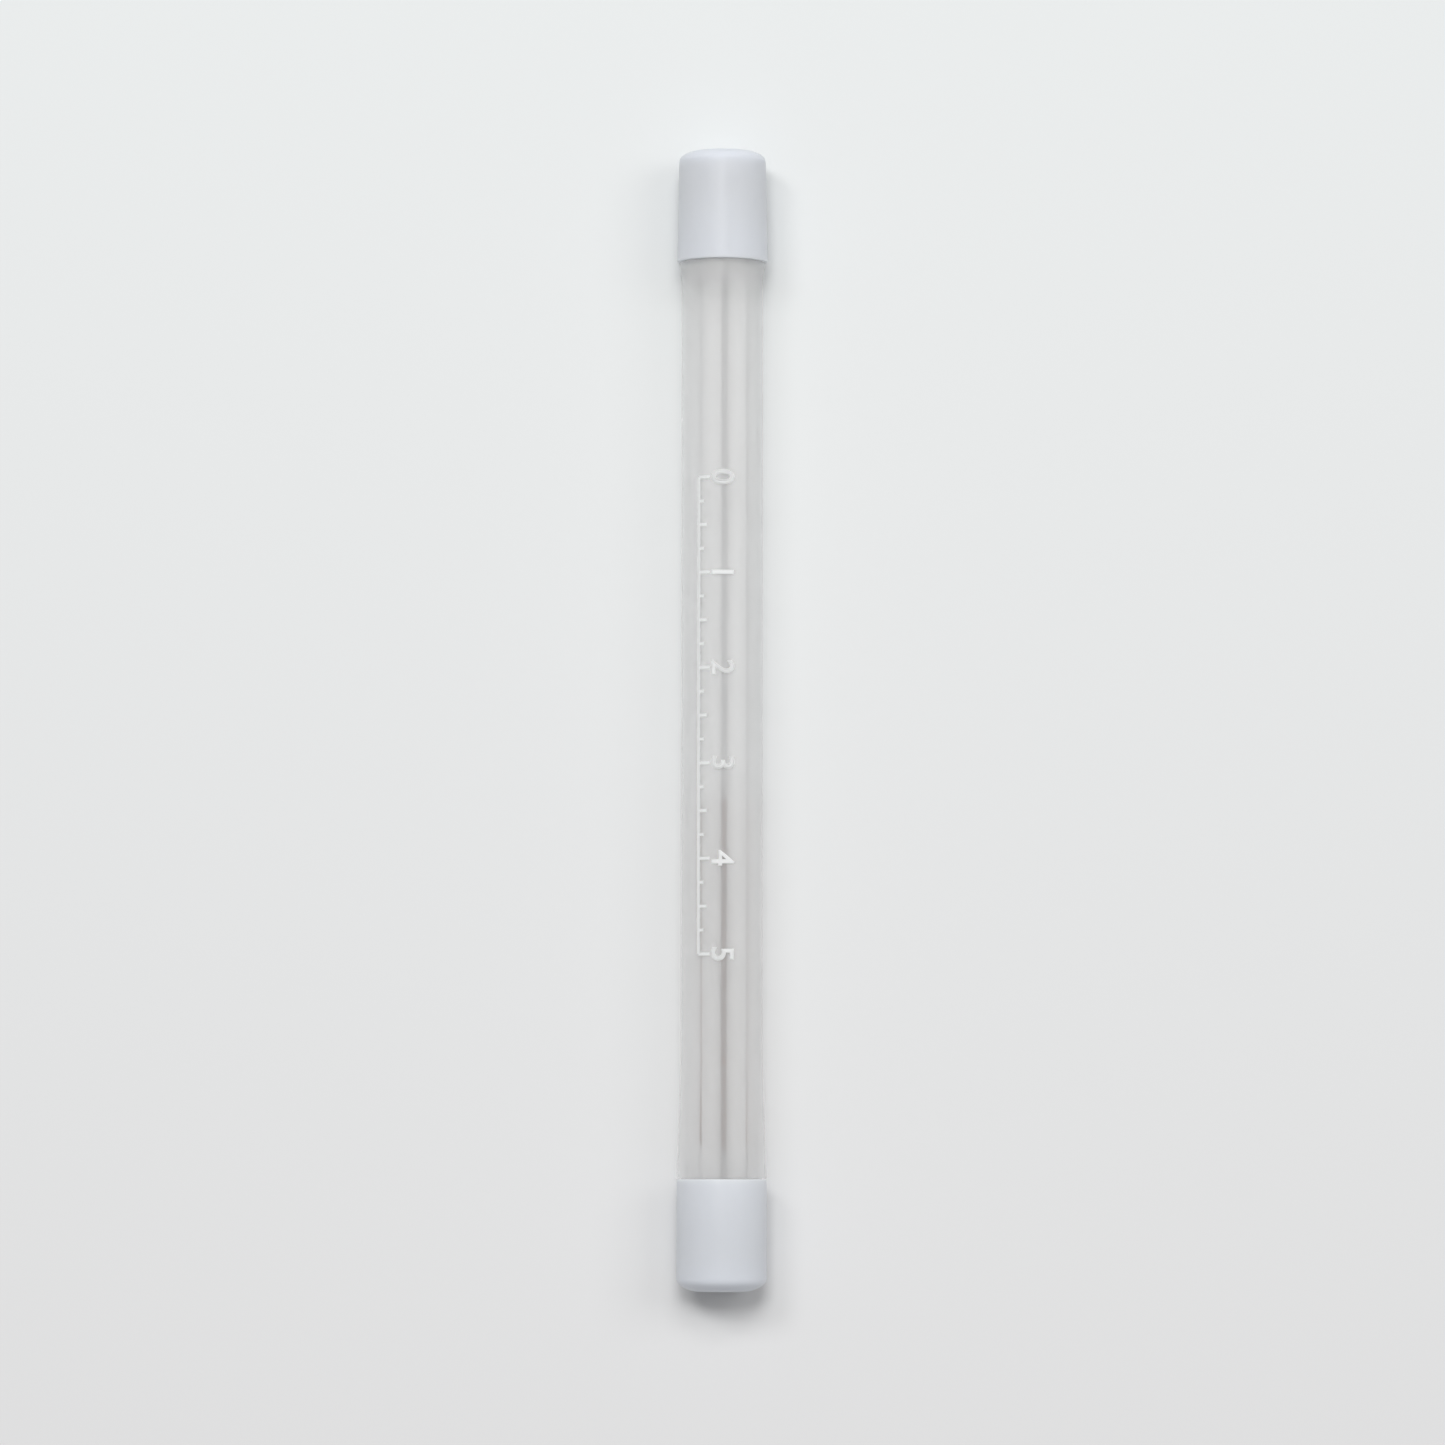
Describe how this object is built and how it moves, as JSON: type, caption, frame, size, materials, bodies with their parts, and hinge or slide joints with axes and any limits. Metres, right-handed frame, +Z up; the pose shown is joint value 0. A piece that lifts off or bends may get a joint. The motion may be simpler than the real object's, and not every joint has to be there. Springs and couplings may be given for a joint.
{
  "type": "eraser refill case",
  "caption": "Slim translucent case with a slip-on cap at each end, holding round eraser refills that slide in its bore.",
  "frame": {"origin": "on the table, under the middle of the case as it lies on its side", "axes": "+Y along the case towards the top cap, +Z up from the table, +X to the right of someone who looks along +Y"},
  "size_m": [0.0096, 0.12, 0.0095],
  "materials": {
    "clear_plastic": "frosted translucent",
    "cap_plastic": "satin",
    "eraser": "soft matt",
    "label_paper": "matt"
  },
  "bodies": {
    "tube": {"tube": "clear_plastic", "label": "label_paper"},
    "top_cap": {"top_cap": "cap_plastic"},
    "bottom_cap": {"bottom_cap": "cap_plastic"},
    "refill_left": {"refill_left": "eraser"},
    "refill_right": {"refill_right": "eraser"}
  },
  "joints": [
    {"name": "top_cap_pull", "type": "slide", "parent": "tube", "child": "top_cap", "axis": [0, 1, 0], "range_m": [0, 0.016]},
    {"name": "bottom_cap_pull", "type": "slide", "parent": "tube", "child": "bottom_cap", "axis": [0, -1, 0], "range_m": [0, 0.016]},
    {"name": "refill_left_slide", "type": "slide", "parent": "tube", "child": "refill_left", "axis": [0, 1, 0], "range_m": [-0.0032, 0.0032]},
    {"name": "refill_right_slide", "type": "slide", "parent": "tube", "child": "refill_right", "axis": [0, 1, 0], "range_m": [-0.0032, 0.0032]}
  ]
}
